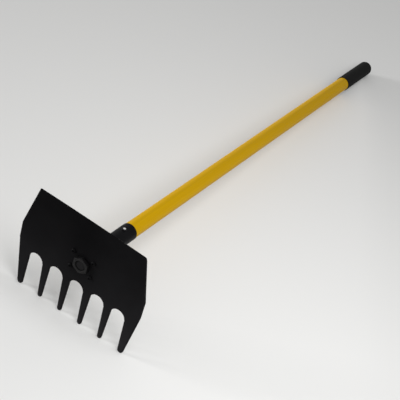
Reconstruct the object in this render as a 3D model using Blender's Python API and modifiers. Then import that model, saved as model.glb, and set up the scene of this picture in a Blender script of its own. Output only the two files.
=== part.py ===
"""McLeod fire rake: a steel head with a hoe edge above and six tines below, on a long fibreglass handle.

The tool is drawn as it lies on flat ground. The head stands upright on its tine tips and the far end of
the handle touches the ground. X runs across the head, +Y along the handle and +Z up. The origin is on
the ground under the middle of the whole tool. Lengths are in metres.
"""
from math import asin, atan2, ceil, cos, hypot, pi, radians, sin, sqrt

import bmesh
import bpy
from mathutils import Matrix, Vector

MM = 0.001

# Clearances
SEAT = 0.3 * MM
HOLE_CLEARANCE = 0.3 * MM

# Head plate
PLATE_THICKNESS = 3.2 * MM
PLATE_EDGE_BREAK = 0.4 * MM
HOE_HEIGHT = 233 * MM
HOE_WIDTH = 225 * MM
HOE_CROWN = 1.4 * MM
HOE_CORNER_RADIUS = 2.5 * MM
HOE_BEVEL_LENGTH = 9 * MM
HOE_EDGE_THICKNESS = 0.8 * MM
HEAD_WIDTH = 269.5 * MM
FLARE_LENGTH = 92.5 * MM
SIDE_LENGTH = 38.5 * MM
SHOULDER_RADIUS = 5 * MM

# Tines
TINE_COUNT = 6
TINE_PITCH = 46 * MM
TINE_LENGTH = 90.5 * MM
TINE_TIP_RADIUS = 4.9 * MM
OUTER_TIP_RADIUS = 6.3 * MM
OUTER_TIP_SPLAY = 0.9 * MM
GAP_ROOT_RADIUS = 14.75 * MM
TINE_BEVEL_WIDTH = 3.4 * MM
TINE_BEVEL_DEPTH = 1.2 * MM

# Socket base plate, behind the head
AXIS_BELOW_HOE = 99 * MM
BASE_THICKNESS = 4.5 * MM
BASE_CORNER_RADIUS = 6 * MM
BASE_MARGIN = 8 * MM

# Head rivets
RIVET_SPACING_ACROSS = 43 * MM
RIVET_SPACING_DOWN = 35 * MM
RIVET_SHANK_RADIUS = 3 * MM
RIVET_HEAD_RADIUS = 4.6 * MM
RIVET_HEAD_HEIGHT = 2.8 * MM
RIVET_PIT_RADIUS = 2.2 * MM
RIVET_PIT_DEPTH = 3 * MM
RIVET_TAIL_RADIUS = 4.2 * MM
RIVET_TAIL_HEIGHT = 2 * MM

# Centre bolt and its nut
BOLT_RADIUS = 9.5 * MM
BOLT_HEAD_RADIUS = 13 * MM
BOLT_HEAD_HEIGHT = 8 * MM
BOLT_CHAMFER = 1 * MM
BOLT_END_RECESS = 1.2 * MM
NUT_ACROSS_FLATS = 30 * MM
NUT_HEIGHT = 6 * MM
NUT_CHAMFER = 1.2 * MM

# Socket tube
SOCKET_LENGTH = 147 * MM
SOCKET_WALL = 1.1 * MM
SOCKET_RIM_BREAK = 0.35 * MM
WELD_LEG = 4.5 * MM

# Handle
HANDLE_RADIUS = 16 * MM
HANDLE_WALL = 3 * MM
HANDLE_LENGTH = 1219 * MM
HANDLE_NECK_RADIUS = 15.6 * MM
HANDLE_INSERTION = 113 * MM
CORE_LENGTH = 250 * MM

# Socket rivet, right through the socket and the handle
PIN_FROM_MOUTH = 24 * MM
PIN_RADIUS = 3 * MM
PIN_HEAD_RADIUS = 4.7 * MM
PIN_HEAD_HEIGHT = 2 * MM

# Plug in the far end of the handle
PLUG_LENGTH = 25 * MM
PLUG_RIM_RADIUS = 15.2 * MM
PLUG_RIM_THICKNESS = 2 * MM

# Grip, slipped over the far end of the handle
GRIP_LENGTH = 152 * MM
GRIP_WALL = 1.2 * MM
GRIP_END_THICKNESS = 3.4 * MM
GRIP_END_RADIUS = 8 * MM
GRIP_LIP_RADIUS = 0.8 * MM

# Smoothness of round pieces
ARC_STEP = radians(15)
BIG_ROUND_STEPS = 48
SMALL_ROUND_STEPS = 24
CORNER_STEPS = 4
CROWN_STEPS = 12

# Sizes that follow from the ones above
SOCKET_BORE = HANDLE_NECK_RADIUS + HOLE_CLEARANCE
SOCKET_RADIUS = SOCKET_BORE + SOCKET_WALL
GRIP_BORE = HANDLE_RADIUS + HOLE_CLEARANCE
GRIP_RADIUS = GRIP_BORE + GRIP_WALL
CORE_RADIUS = HANDLE_RADIUS - HANDLE_WALL - HOLE_CLEARANCE

# Places along the handle's axis, measured from the head's front face
SOCKET_MOUTH = SOCKET_LENGTH
HANDLE_START = SOCKET_MOUTH - HANDLE_INSERTION
HANDLE_END = HANDLE_START + HANDLE_LENGTH
PIN_STATION = SOCKET_MOUTH - PIN_FROM_MOUTH
PLUG_RIM_END = HANDLE_END + SEAT + PLUG_RIM_THICKNESS
GRIP_END = PLUG_RIM_END + SEAT + GRIP_END_THICKNESS
GRIP_START = GRIP_END - GRIP_LENGTH

# The handle slopes down until the grip's far end touches the ground
AXIS_HEIGHT = HOE_HEIGHT - AXIS_BELOW_HOE
GROUND_STATION = GRIP_END - GRIP_END_RADIUS
HANDLE_TILT = asin(AXIS_HEIGHT / hypot(GROUND_STATION, GRIP_RADIUS)) - atan2(GRIP_RADIUS, GROUND_STATION)

# Places along Y, measured from the head's front face
BASE_FRONT = PLATE_THICKNESS + SEAT
BASE_BACK = BASE_FRONT + BASE_THICKNESS
NUT_FRONT = -SEAT - NUT_HEIGHT
FAR_END = (
    GROUND_STATION * cos(HANDLE_TILT)
    + (GRIP_RADIUS - GRIP_END_RADIUS) * sin(HANDLE_TILT)
    + GRIP_END_RADIUS
)
FRONT_Y = -(NUT_FRONT + FAR_END) / 2

# Colours, with roughness and metallic value
BLACK_STEEL = ("black painted steel", (0.010, 0.010, 0.011), 0.5, 0.3)
BLACK_SOCKET = ("black enamel", (0.010, 0.010, 0.012), 0.35, 0.3)
WORN_STEEL = ("worn black steel", (0.030, 0.030, 0.032), 0.45, 0.7)
BRIGHT_STEEL = ("zinc plated steel", (0.55, 0.55, 0.56), 0.3, 1.0)
YELLOW_RESIN = ("yellow fibreglass", (0.55, 0.32, 0.005), 0.4, 0.0)
PALE_RESIN = ("pale glass resin", (0.60, 0.55, 0.42), 0.6, 0.0)
BLACK_RUBBER = ("black rubber", (0.014, 0.014, 0.014), 0.7, 0.0)


def collection(name):
    """A new collection in the scene."""
    made = bpy.data.collections.new(name)
    bpy.context.scene.collection.children.link(made)
    return made


def material(recipe):
    """The material of that recipe, made once."""
    name, colour, roughness, metallic = recipe
    made = bpy.data.materials.get(name)
    if made is None:
        made = bpy.data.materials.new(name)
        made.use_nodes = True
        shader = made.node_tree.nodes["Principled BSDF"]
        shader.inputs["Base Color"].default_value = (*colour, 1)
        shader.inputs["Roughness"].default_value = roughness
        shader.inputs["Metallic"].default_value = metallic
    return made


def add_part(name, mesh, recipe, place):
    """A piece of the tool as an object with its material, at its place."""
    piece = bpy.data.objects.new(name, mesh)
    piece.matrix_world = place
    if not mesh.materials:
        mesh.materials.append(material(recipe))
    TOOL.objects.link(piece)
    return piece


def add_cutter(name, mesh, place):
    """A hidden shape that only cuts."""
    piece = bpy.data.objects.new(name, mesh)
    piece.matrix_world = place
    piece.hide_render = True
    piece.display_type = "WIRE"
    CUTTERS.objects.link(piece)
    return piece


def boolean(piece, cutter, operation="DIFFERENCE"):
    """Cut, trim or join a piece with another object."""
    step = piece.modifiers.new(cutter.name, "BOOLEAN")
    step.object = cutter
    step.operation = operation
    step.solver = "EXACT"


def profile_mesh(name, profile, closed=False):
    """The edges of a turned piece's profile, given as (radius, height) pairs, outer side top to bottom."""
    mesh = bpy.data.meshes.new(name)
    shape = bmesh.new()
    corners = [shape.verts.new((radius, 0, height)) for radius, height in profile]
    for first, second in zip(corners, corners[1:]):
        shape.edges.new((first, second))
    if closed:
        shape.edges.new((corners[-1], corners[0]))
    shape.to_mesh(mesh)
    shape.free()
    return mesh


def turn(piece, steps):
    """Spin a profile round its own Z axis into a solid."""
    screw = piece.modifiers.new("turn", "SCREW")
    screw.axis = "Z"
    screw.steps = steps
    screw.render_steps = steps
    screw.use_merge_vertices = True
    screw.merge_threshold = 0.01 * MM
    screw.use_smooth_shade = False
    return piece


def turned(name, profile, recipe, place, steps=BIG_ROUND_STEPS, closed=False):
    """A turned piece of the tool."""
    return turn(add_part(name, profile_mesh(name, profile, closed), recipe, place), steps)


def round_cutter(name, radius, low, high, place, steps=SMALL_ROUND_STEPS):
    """A cutter for a round hole, from low to high along its own Z axis."""
    profile = [(0, high), (radius, high), (radius, low), (0, low)]
    return turn(add_cutter(name, profile_mesh(name, profile), place), steps)


def plane_cutter(name, point, outward, reach):
    """A cutter that takes away all that lies beyond a plane, on the side that outward points to."""
    mesh = bpy.data.meshes.new(name)
    shape = bmesh.new()
    bmesh.ops.create_cube(shape, size=reach)
    shape.to_mesh(mesh)
    shape.free()
    normal = Vector(outward).normalized()
    centre = Vector(point) + normal * reach / 2
    return add_cutter(name, mesh, Matrix.Translation(centre) @ normal.to_track_quat("Z", "Y").to_matrix().to_4x4())


def arc(centre, radius, start, end, steps):
    """Points of an arc, both ends included. Angles are in radians."""
    angles = [start + (end - start) * k / steps for k in range(steps + 1)]
    return [(centre[0] + radius * cos(a), centre[1] + radius * sin(a)) for a in angles]


def heading(first, second):
    """The direction of the straight side that runs from one circle of a belt to the next."""
    x0, y0, r0, t0 = first
    x1, y1, r1, t1 = second
    across = (r1 * t1 - r0 * t0) / hypot(x1 - x0, y1 - y0)
    return atan2(y1 - y0, x1 - x0) - asin(across)


def touch(circle, direction):
    """Where a straight side with that direction meets a circle of a belt."""
    x, y, radius, turning = circle
    towards = direction - turning * pi / 2
    return Vector((x + radius * cos(towards), y + radius * sin(towards)))


def belt(rounds):
    """An outline that runs straight from one circle to the next and round each one.

    Each entry is (x, y, radius, turn). The outline runs anticlockwise as a whole, so turn is +1 round an
    outer corner and -1 round an inner one, and a radius of 0 makes a plain corner.
    """
    headings = [heading(first, second) for first, second in zip(rounds, rounds[1:] + rounds[:1])]
    points = []
    for k, (x, y, radius, turning) in enumerate(rounds):
        start = headings[k - 1] - turning * pi / 2
        sweep = (headings[k] - headings[k - 1] + pi) % (2 * pi) - pi
        if radius == 0:
            points.append((x, y))
        else:
            steps = max(CORNER_STEPS, ceil(abs(sweep) / ARC_STEP))
            points += arc((x, y), radius, start, start + sweep, steps)
    return points


def rounded_corner(before, corner, after, radius):
    """The belt entry that rounds off an outer corner between two straight sides."""
    here = Vector(corner)
    side_in = (Vector(before) - here).normalized()
    side_out = (Vector(after) - here).normalized()
    half = side_in.angle(side_out) / 2
    centre = here + (side_in + side_out).normalized() * radius / sin(half)
    return (centre.x, centre.y, radius, 1)


def plate(name, outline, thickness, edge_break, recipe, back_y):
    """An upright plate with that outline in X and Z. Its back lies at back_y, and its edges are broken."""
    flat = bpy.data.curves.new(name, "CURVE")
    flat.dimensions = "2D"
    flat.fill_mode = "BOTH"
    flat.extrude = thickness / 2 - edge_break
    flat.bevel_depth = edge_break
    flat.bevel_resolution = 0
    flat.offset = -edge_break
    loop = flat.splines.new("POLY")
    loop.points.add(len(outline) - 1)
    for point, (x, z) in zip(loop.points, outline):
        point.co = (x, z, 0, 1)
    loop.use_cyclic_u = True
    guide = bpy.data.objects.new(name + "_outline", flat)
    TOOL.objects.link(guide)
    evaluated = guide.evaluated_get(bpy.context.evaluated_depsgraph_get())
    mesh = bpy.data.meshes.new_from_object(evaluated)
    bpy.data.objects.remove(guide)
    shape = bmesh.new()
    shape.from_mesh(mesh)
    bmesh.ops.remove_doubles(shape, verts=shape.verts, dist=0.01 * MM)
    bmesh.ops.recalc_face_normals(shape, faces=shape.faces)
    shape.to_mesh(mesh)
    shape.free()
    mesh.materials.clear()
    upright = Matrix.Rotation(pi / 2, 4, "X")
    return add_part(name, mesh, recipe, Matrix.Translation((0, back_y - thickness / 2, 0)) @ upright)


def behind_head(x, z, y=0.0):
    """A place for a piece whose own Z axis points straight back, away from the head's front face."""
    return Matrix.Translation((x, FRONT_Y + y, z)) @ Matrix.Rotation(-pi / 2, 4, "X")


def along_handle():
    """The place of every piece on the handle's axis. Its own Z is the distance from the head's front face."""
    lean = Matrix.Rotation(-pi / 2 - HANDLE_TILT, 4, "X")
    return Matrix.Translation((0, FRONT_Y, AXIS_HEIGHT)) @ lean


def rivet_places():
    """X and Z of the four rivets that hold the socket's base to the head."""
    return [
        (side * RIVET_SPACING_ACROSS / 2, AXIS_HEIGHT + level * RIVET_SPACING_DOWN / 2)
        for level in (1, -1)
        for side in (-1, 1)
    ]


def tine_rounds():
    """The belt entries of the tine tips and of the round gaps between them, from left to right."""
    last = (TINE_COUNT - 1) / 2
    rounds = []
    for k in range(TINE_COUNT):
        x = (k - last) * TINE_PITCH
        if k in (0, TINE_COUNT - 1):
            x += OUTER_TIP_SPLAY * (k - last) / last
            rounds.append((x, OUTER_TIP_RADIUS, OUTER_TIP_RADIUS, 1))
        else:
            rounds.append((x, TINE_TIP_RADIUS, TINE_TIP_RADIUS, 1))
        if k < TINE_COUNT - 1:
            gap = (k + 0.5 - last) * TINE_PITCH
            rounds.append((gap, TINE_LENGTH - GAP_ROOT_RADIUS, GAP_ROOT_RADIUS, -1))
    return rounds


def head_rounds():
    """The belt entries of the head without its crown: left side, tines, right side."""
    hoe = (HOE_WIDTH / 2, HOE_HEIGHT)
    shoulder = (HEAD_WIDTH / 2, HOE_HEIGHT - FLARE_LENGTH)
    side_end = (HEAD_WIDTH / 2, HOE_HEIGHT - FLARE_LENGTH - SIDE_LENGTH)
    tines = tine_rounds()
    tip_x, tip_z, tip_radius, turning = tines[-1]
    right = [
        rounded_corner((tip_x + tip_radius, tip_z), side_end, shoulder, SHOULDER_RADIUS),
        rounded_corner(side_end, shoulder, hoe, SHOULDER_RADIUS),
        rounded_corner(shoulder, hoe, (0, HOE_HEIGHT + HOE_CROWN), HOE_CORNER_RADIUS),
    ]
    left = [(-x, z, radius, turning) for x, z, radius, turning in reversed(right)]
    return left, tines, right


def head_outline():
    """The outline of the head: crowned hoe edge, flared sides, and tines with round gaps between them."""
    left, tines, right = head_rounds()
    hoe = (HOE_WIDTH / 2, HOE_HEIGHT)
    crown_radius = (hoe[0] ** 2 + HOE_CROWN**2) / (2 * HOE_CROWN)
    crown_centre = HOE_HEIGHT + HOE_CROWN - crown_radius
    rise = asin(hoe[0] / crown_radius)
    crown = arc((0, crown_centre), crown_radius, pi / 2 - rise, pi / 2 + rise, CROWN_STEPS)[1:-1]
    return belt([(x, z, 0, 1) for x, z in crown] + left + tines + right)


def tine_bevel_cutter():
    """Wedges that bevel both front edges of every tine, from the root of its gap down past its tip."""
    left, tines, right = head_rounds()
    rounds = left[-1:] + tines + right[:1]
    past_tip = OUTER_TIP_RADIUS + SEAT
    back = Vector((0, 1, 0))
    slant = hypot(TINE_BEVEL_WIDTH, TINE_BEVEL_DEPTH)
    low = Vector((-SEAT, -past_tip, 0))
    shape = bmesh.new()
    for first, second in zip(rounds, rounds[1:]):
        direction = heading(first, second)
        bottom, top = sorted((touch(first, direction), touch(second, direction)), key=lambda point: point.y)
        outward = Vector((sin(direction), 0, -cos(direction)))
        upward = Vector((top.x - bottom.x, 0, top.y - bottom.y)).normalized()
        across = (outward * TINE_BEVEL_WIDTH + back * TINE_BEVEL_DEPTH) / slant
        away = (outward * TINE_BEVEL_DEPTH - back * TINE_BEVEL_WIDTH) / slant
        corner = Vector((bottom.x, FRONT_Y, bottom.y)) - outward * TINE_BEVEL_WIDTH
        high = Vector((slant + TINE_BEVEL_DEPTH, (top - bottom).length, 2 * TINE_BEVEL_DEPTH))
        box = Matrix.Translation((low + high) / 2) @ Matrix.Diagonal((*(high - low), 1))
        wedge = bmesh.ops.create_cube(shape, size=1, matrix=box)["verts"]
        for vertex in wedge:
            if vertex.co.y > 0 and vertex.co.z > 0:
                vertex.co.y += high.z
        axes = Matrix((across, upward, away)).transposed().to_4x4()
        bmesh.ops.transform(shape, matrix=Matrix.Translation(corner) @ axes, verts=wedge)
    bmesh.ops.recalc_face_normals(shape, faces=shape.faces)
    mesh = bpy.data.meshes.new("tine_bevels")
    shape.to_mesh(mesh)
    shape.free()
    return add_cutter("tine_bevels", mesh, Matrix())


def make_head():
    """The head plate with bevelled tines, ground to an edge along the hoe side and drilled for its fasteners."""
    back_y = FRONT_Y + PLATE_THICKNESS
    head = plate("head_plate", head_outline(), PLATE_THICKNESS, PLATE_EDGE_BREAK, BLACK_STEEL, back_y)
    edge = (0, FRONT_Y + HOE_EDGE_THICKNESS, HOE_HEIGHT + HOE_CROWN)
    grind = (0, HOE_BEVEL_LENGTH, PLATE_THICKNESS - HOE_EDGE_THICKNESS)
    boolean(head, plane_cutter("hoe_bevel", edge, grind, 2 * HEAD_WIDTH))
    boolean(head, tine_bevel_cutter())
    drill_mount_holes(head)
    return head


def drill_mount_holes(piece):
    """Cut the centre bolt's hole and the four rivets' holes."""
    for cutter in MOUNT_HOLES:
        boolean(piece, cutter)


def mount_hole_cutters():
    """Cutters for the holes that the head and the socket's base share."""
    low = -BASE_THICKNESS
    high = BASE_BACK + BASE_THICKNESS
    bolt_place = behind_head(0, AXIS_HEIGHT)
    cutters = [round_cutter("bolt_hole", BOLT_RADIUS + HOLE_CLEARANCE, low, high, bolt_place, BIG_ROUND_STEPS)]
    for k, (x, z) in enumerate(rivet_places(), 1):
        radius = RIVET_SHANK_RADIUS + HOLE_CLEARANCE
        cutters.append(round_cutter(f"rivet_hole_{k}", radius, low, high, behind_head(x, z)))
    return cutters


def make_socket_base():
    """The plate welded across the socket's end, riveted and bolted to the back of the head."""
    half_width = RIVET_SPACING_ACROSS / 2 + BASE_MARGIN - BASE_CORNER_RADIUS
    half_height = RIVET_SPACING_DOWN / 2 + BASE_MARGIN - BASE_CORNER_RADIUS
    corners = [(1, 1), (-1, 1), (-1, -1), (1, -1)]
    outline = belt([(x * half_width, AXIS_HEIGHT + z * half_height, BASE_CORNER_RADIUS, 1) for x, z in corners])
    base = plate("socket_base", outline, BASE_THICKNESS, PLATE_EDGE_BREAK, BLACK_SOCKET, FRONT_Y + BASE_BACK)
    drill_mount_holes(base)
    return base


def make_head_rivets():
    """Four hollow headed rivets through the head and the socket's base."""
    front = -SEAT
    crest = front - RIVET_HEAD_HEIGHT
    back = BASE_BACK + SEAT
    tail = back + RIVET_TAIL_HEIGHT
    tail_edge = RIVET_TAIL_HEIGHT / 2
    profile = [
        (0, tail),
        (RIVET_TAIL_RADIUS - tail_edge, tail),
        (RIVET_TAIL_RADIUS, tail - tail_edge),
        (RIVET_TAIL_RADIUS, back),
        (RIVET_SHANK_RADIUS, back),
        (RIVET_SHANK_RADIUS, front),
        (RIVET_HEAD_RADIUS, front),
        (RIVET_HEAD_RADIUS, front - RIVET_HEAD_HEIGHT / 3),
        ((RIVET_HEAD_RADIUS + RIVET_PIT_RADIUS) / 2, crest),
        (RIVET_PIT_RADIUS, crest),
        (RIVET_PIT_RADIUS, crest + RIVET_PIT_DEPTH),
        (0, crest + RIVET_PIT_DEPTH),
    ]
    for k, (x, z) in enumerate(rivet_places(), 1):
        turned(f"head_rivet_{k}", profile, WORN_STEEL, behind_head(x, z), SMALL_ROUND_STEPS)


def make_centre_bolt():
    """The bolt that draws the socket's base to the head. Its head is inside the socket."""
    under_head = BASE_BACK + SEAT
    top = under_head + BOLT_HEAD_HEIGHT
    tip = NUT_FRONT + BOLT_END_RECESS
    profile = [
        (0, top),
        (BOLT_HEAD_RADIUS - BOLT_CHAMFER, top),
        (BOLT_HEAD_RADIUS, top - BOLT_CHAMFER),
        (BOLT_HEAD_RADIUS, under_head),
        (BOLT_RADIUS, under_head),
        (BOLT_RADIUS, tip + BOLT_CHAMFER),
        (BOLT_RADIUS - BOLT_CHAMFER, tip),
        (0, tip),
    ]
    return turned("centre_bolt", profile, WORN_STEEL, behind_head(0, AXIS_HEIGHT))


def make_centre_nut():
    """The hexagon nut on the front of the head, with a chamfered face and flats to both sides."""
    mesh = bpy.data.meshes.new("centre_nut")
    shape = bmesh.new()
    corner_radius = NUT_ACROSS_FLATS / sqrt(3)
    bmesh.ops.create_cone(
        shape, cap_ends=True, segments=6, radius1=corner_radius, radius2=corner_radius, depth=NUT_HEIGHT
    )
    shape.to_mesh(mesh)
    shape.free()
    place = behind_head(0, AXIS_HEIGHT, NUT_FRONT + NUT_HEIGHT / 2)
    nut = add_part("centre_nut", mesh, WORN_STEEL, place)
    half = NUT_HEIGHT / 2
    wide = corner_radius + NUT_CHAMFER
    profile = [
        (0, half + SEAT),
        (wide, half + SEAT),
        (wide, NUT_CHAMFER - half),
        (NUT_ACROSS_FLATS / 2, -half),
        (0, -half),
    ]
    chamfer = turn(add_cutter("nut_chamfer", profile_mesh("nut_chamfer", profile), place), BIG_ROUND_STEPS)
    boolean(nut, chamfer, "INTERSECT")
    bore = round_cutter("nut_bore", BOLT_RADIUS + HOLE_CLEARANCE, -NUT_HEIGHT, NUT_HEIGHT, place, BIG_ROUND_STEPS)
    boolean(nut, bore)
    return nut


def make_socket_tube():
    """The steel socket, cut on the slant against its base, with the weld that holds it there."""
    foot = BASE_BACK / cos(HANDLE_TILT)
    weld_top = foot + WELD_LEG + SOCKET_RADIUS * sin(HANDLE_TILT)
    profile = [
        (SOCKET_RADIUS - SOCKET_RIM_BREAK, SOCKET_MOUTH),
        (SOCKET_RADIUS, SOCKET_MOUTH - SOCKET_RIM_BREAK),
        (SOCKET_RADIUS, weld_top),
        (SOCKET_RADIUS + WELD_LEG, weld_top - WELD_LEG),
        (SOCKET_RADIUS + WELD_LEG, 0),
        (SOCKET_BORE, 0),
        (SOCKET_BORE, SOCKET_MOUTH),
    ]
    tube = turned("socket_tube", profile, BLACK_SOCKET, along_handle(), closed=True)
    boolean(tube, plane_cutter("socket_foot", (0, FRONT_Y + BASE_BACK + SEAT, AXIS_HEIGHT), (0, -1, 0), HOE_HEIGHT))
    boolean(tube, PIN_HOLE)
    return tube


def pin_hole_cutter():
    """The cutter for the rivet's hole, straight through the socket and what it holds."""
    reach = SOCKET_RADIUS + PIN_HEAD_HEIGHT
    return round_cutter("pin_hole", PIN_RADIUS + HOLE_CLEARANCE, -reach, reach, pin_place())


def pin_place():
    """The socket rivet's place, square to the handle, with its own Z axis pointing up."""
    return along_handle() @ Matrix.Translation((0, 0, PIN_STATION)) @ Matrix.Rotation(pi / 2, 4, "X")


def make_socket_rivet():
    """The rivet that locks the handle in the socket, with a low dome on both ends."""
    seat = SOCKET_RADIUS + SEAT
    dome = [
        (PIN_HEAD_RADIUS * cos(a), seat + PIN_HEAD_HEIGHT * sin(a))
        for a in (pi / 2 * (1 - k / CORNER_STEPS) for k in range(CORNER_STEPS + 1))
    ]
    upper = [(0, dome[0][1])] + dome[1:] + [(PIN_RADIUS, seat)]
    lower = [(radius, -height) for radius, height in reversed(upper)]
    return turned("socket_rivet", upper + lower, BRIGHT_STEEL, pin_place(), SMALL_ROUND_STEPS)


def make_handle():
    """The fibreglass tube, turned down a little where it goes into the socket."""
    shoulder = SOCKET_MOUTH + SEAT
    bore = HANDLE_RADIUS - HANDLE_WALL
    profile = [
        (HANDLE_RADIUS, HANDLE_END),
        (HANDLE_RADIUS, shoulder),
        (HANDLE_NECK_RADIUS, shoulder),
        (HANDLE_NECK_RADIUS, HANDLE_START),
        (bore, HANDLE_START),
        (bore, HANDLE_END),
    ]
    handle = turned("handle_tube", profile, YELLOW_RESIN, along_handle(), closed=True)
    boolean(handle, PIN_HOLE)
    return handle


def make_core():
    """The solid rod that stops the tube from being crushed in the socket."""
    profile = [
        (0, HANDLE_START + CORE_LENGTH),
        (CORE_RADIUS, HANDLE_START + CORE_LENGTH),
        (CORE_RADIUS, HANDLE_START),
        (0, HANDLE_START),
    ]
    core = turned("handle_core", profile, PALE_RESIN, along_handle())
    boolean(core, PIN_HOLE)
    return core


def make_plug():
    """The plug that closes the far end of the tube, under the grip."""
    seat = HANDLE_END + SEAT
    profile = [
        (0, PLUG_RIM_END),
        (PLUG_RIM_RADIUS, PLUG_RIM_END),
        (PLUG_RIM_RADIUS, seat),
        (CORE_RADIUS, seat),
        (CORE_RADIUS, seat - PLUG_LENGTH),
        (0, seat - PLUG_LENGTH),
    ]
    return turned("end_plug", profile, PALE_RESIN, along_handle())


def make_grip():
    """The rubber grip: a long closed sleeve with a round edged end and a soft lip at its mouth."""
    middle = GRIP_RADIUS - GRIP_END_RADIUS
    end = arc((middle, GROUND_STATION), GRIP_END_RADIUS, pi / 2, 0, 2 * CORNER_STEPS)
    lip_radius = GRIP_RADIUS - GRIP_LIP_RADIUS
    lip = arc((lip_radius, GRIP_START + GRIP_LIP_RADIUS), GRIP_LIP_RADIUS, 0, -pi / 2, CORNER_STEPS)
    inside = PLUG_RIM_END + SEAT
    profile = [(0, GRIP_END)] + end + lip + [(GRIP_BORE, GRIP_START), (GRIP_BORE, inside), (0, inside)]
    return turned("hand_grip", profile, BLACK_RUBBER, along_handle())


for old in list(bpy.data.objects):
    bpy.data.objects.remove(old)
TOOL = collection("mcleod_rake")
CUTTERS = collection("cutters")
MOUNT_HOLES = mount_hole_cutters()
PIN_HOLE = pin_hole_cutter()
make_head()
make_socket_base()
make_head_rivets()
make_centre_bolt()
make_centre_nut()
make_socket_tube()
make_socket_rivet()
make_handle()
make_core()
make_plug()
make_grip()
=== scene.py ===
# %% [markdown]
# # A fire rake, from frame to finish
# This tool is a McLeod: a flat steel head with a sharpened hoe edge above and six coarse tines below, on a
# long fibreglass handle. Fire crews and trail crews cut, scrape and rake with it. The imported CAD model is
# the frame, so every size and place comes from it. This script gives each piece its fine shape and finish.
# A quick way would be to repaint the CAD solids. They are faceted, though, and a tool like this shows its
# quality in its edges, so each piece that can be seen is made again here with finer steps and round edges.

# %% The frame
from math import asin, atan2, cos, degrees, hypot, pi, radians, sin, sqrt, tan

import bmesh
import bpy
from mathutils import Matrix, Vector


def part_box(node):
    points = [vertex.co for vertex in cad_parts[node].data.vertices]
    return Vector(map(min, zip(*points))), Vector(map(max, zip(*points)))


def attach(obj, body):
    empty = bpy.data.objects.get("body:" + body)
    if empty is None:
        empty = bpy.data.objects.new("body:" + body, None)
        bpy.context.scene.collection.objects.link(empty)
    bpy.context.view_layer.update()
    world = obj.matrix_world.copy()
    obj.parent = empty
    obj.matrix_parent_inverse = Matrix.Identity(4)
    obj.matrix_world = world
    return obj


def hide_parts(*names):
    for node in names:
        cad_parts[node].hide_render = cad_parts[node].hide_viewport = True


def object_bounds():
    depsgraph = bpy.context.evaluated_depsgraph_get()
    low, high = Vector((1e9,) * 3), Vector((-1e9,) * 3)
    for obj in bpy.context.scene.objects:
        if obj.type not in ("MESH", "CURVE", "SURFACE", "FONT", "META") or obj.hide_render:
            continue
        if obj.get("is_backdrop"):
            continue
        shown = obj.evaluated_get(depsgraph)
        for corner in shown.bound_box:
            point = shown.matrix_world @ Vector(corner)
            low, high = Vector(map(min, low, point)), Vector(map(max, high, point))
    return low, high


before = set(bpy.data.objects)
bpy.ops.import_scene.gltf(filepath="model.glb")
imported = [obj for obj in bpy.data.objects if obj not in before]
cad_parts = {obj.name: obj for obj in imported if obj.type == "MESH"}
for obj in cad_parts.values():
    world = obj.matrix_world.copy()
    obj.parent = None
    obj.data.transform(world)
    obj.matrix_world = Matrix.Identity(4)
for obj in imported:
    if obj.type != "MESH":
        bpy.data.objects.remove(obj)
CAD_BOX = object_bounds()
MM = 0.001
print("nodes in the frame:", len(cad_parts))

# %% [markdown]
# ## Where everything is
# The head stands on its tine tips and the far end of the grip touches the ground, so the handle leans.
# The places could be typed in as numbers, but then a change in the frame would pull the model apart. A
# round bar's box always has its centre on the bar's axis. The nut sits where the axis meets the head and
# the core is a round bar inside the handle, so these two give the axis.

# %% The handle's axis
def centre(node):
    """The middle of a CAD node's box."""
    low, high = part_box(node)
    return (low + high) / 2


HEAD_LOW, HEAD_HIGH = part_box("head_plate")
AXIS_FOOT = Vector((0, HEAD_LOW.y, centre("centre_nut").z))
AXIS = (centre("handle_core") - AXIS_FOOT).normalized()
LEAN = atan2(-AXIS.z, AXIS.y)
ALONG_HANDLE = Matrix.Translation(AXIS_FOOT) @ Matrix.Rotation(-pi / 2 - LEAN, 4, "X")
print(f"the axis meets the head {AXIS_FOOT.z / MM:.1f} mm up, the handle leans {degrees(LEAN):.2f} degrees")

# %% Distances along the axis
def reach_along_axis(node):
    """The nearest and farthest distance of a CAD node along the axis, from the head's front face."""
    reaches = [(vertex.co - AXIS_FOOT).dot(AXIS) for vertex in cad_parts[node].data.vertices]
    return min(reaches), max(reaches)


def half_width(node):
    """Half of a CAD node's width across the tool. It is the radius of a round bar."""
    low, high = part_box(node)
    return (high.x - low.x) / 2


for node in ("socket_tube", "handle_tube", "hand_grip"):
    near, far = reach_along_axis(node)
    print(f"{node}: {near / MM:.1f} to {far / MM:.1f} mm, half width {half_width(node) / MM:.1f} mm")

# %% [markdown]
# ## The camera
# The photograph looks down on the head from the front and a little from the right, and along the handle.
# A camera could be placed by eye, but this one was fitted: its place, turn and lens make the corners of the
# head, the tine tips and the handle's two edges fall where the photograph has them.

# %% Camera
CAMERA_PLACE = Vector((0.65637, -1.87026, 1.46827))
CAMERA_TURN = (radians(49.906), radians(-14.507), radians(33.269))
CAMERA_LENS = 100.496
SENSOR_WIDTH = 36.0


def add_object(name, data):
    """A new object in the scene."""
    made = bpy.data.objects.new(name, data)
    bpy.context.scene.collection.objects.link(made)
    return made


camera_data = bpy.data.cameras.new("camera")
camera_data.lens = CAMERA_LENS
camera_data.sensor_width = SENSOR_WIDTH
camera = add_object("camera", camera_data)
camera.location = CAMERA_PLACE
camera.rotation_euler = CAMERA_TURN
bpy.context.scene.camera = camera
print("camera to head, metres:", round((CAMERA_PLACE - AXIS_FOOT).length, 3))

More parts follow.
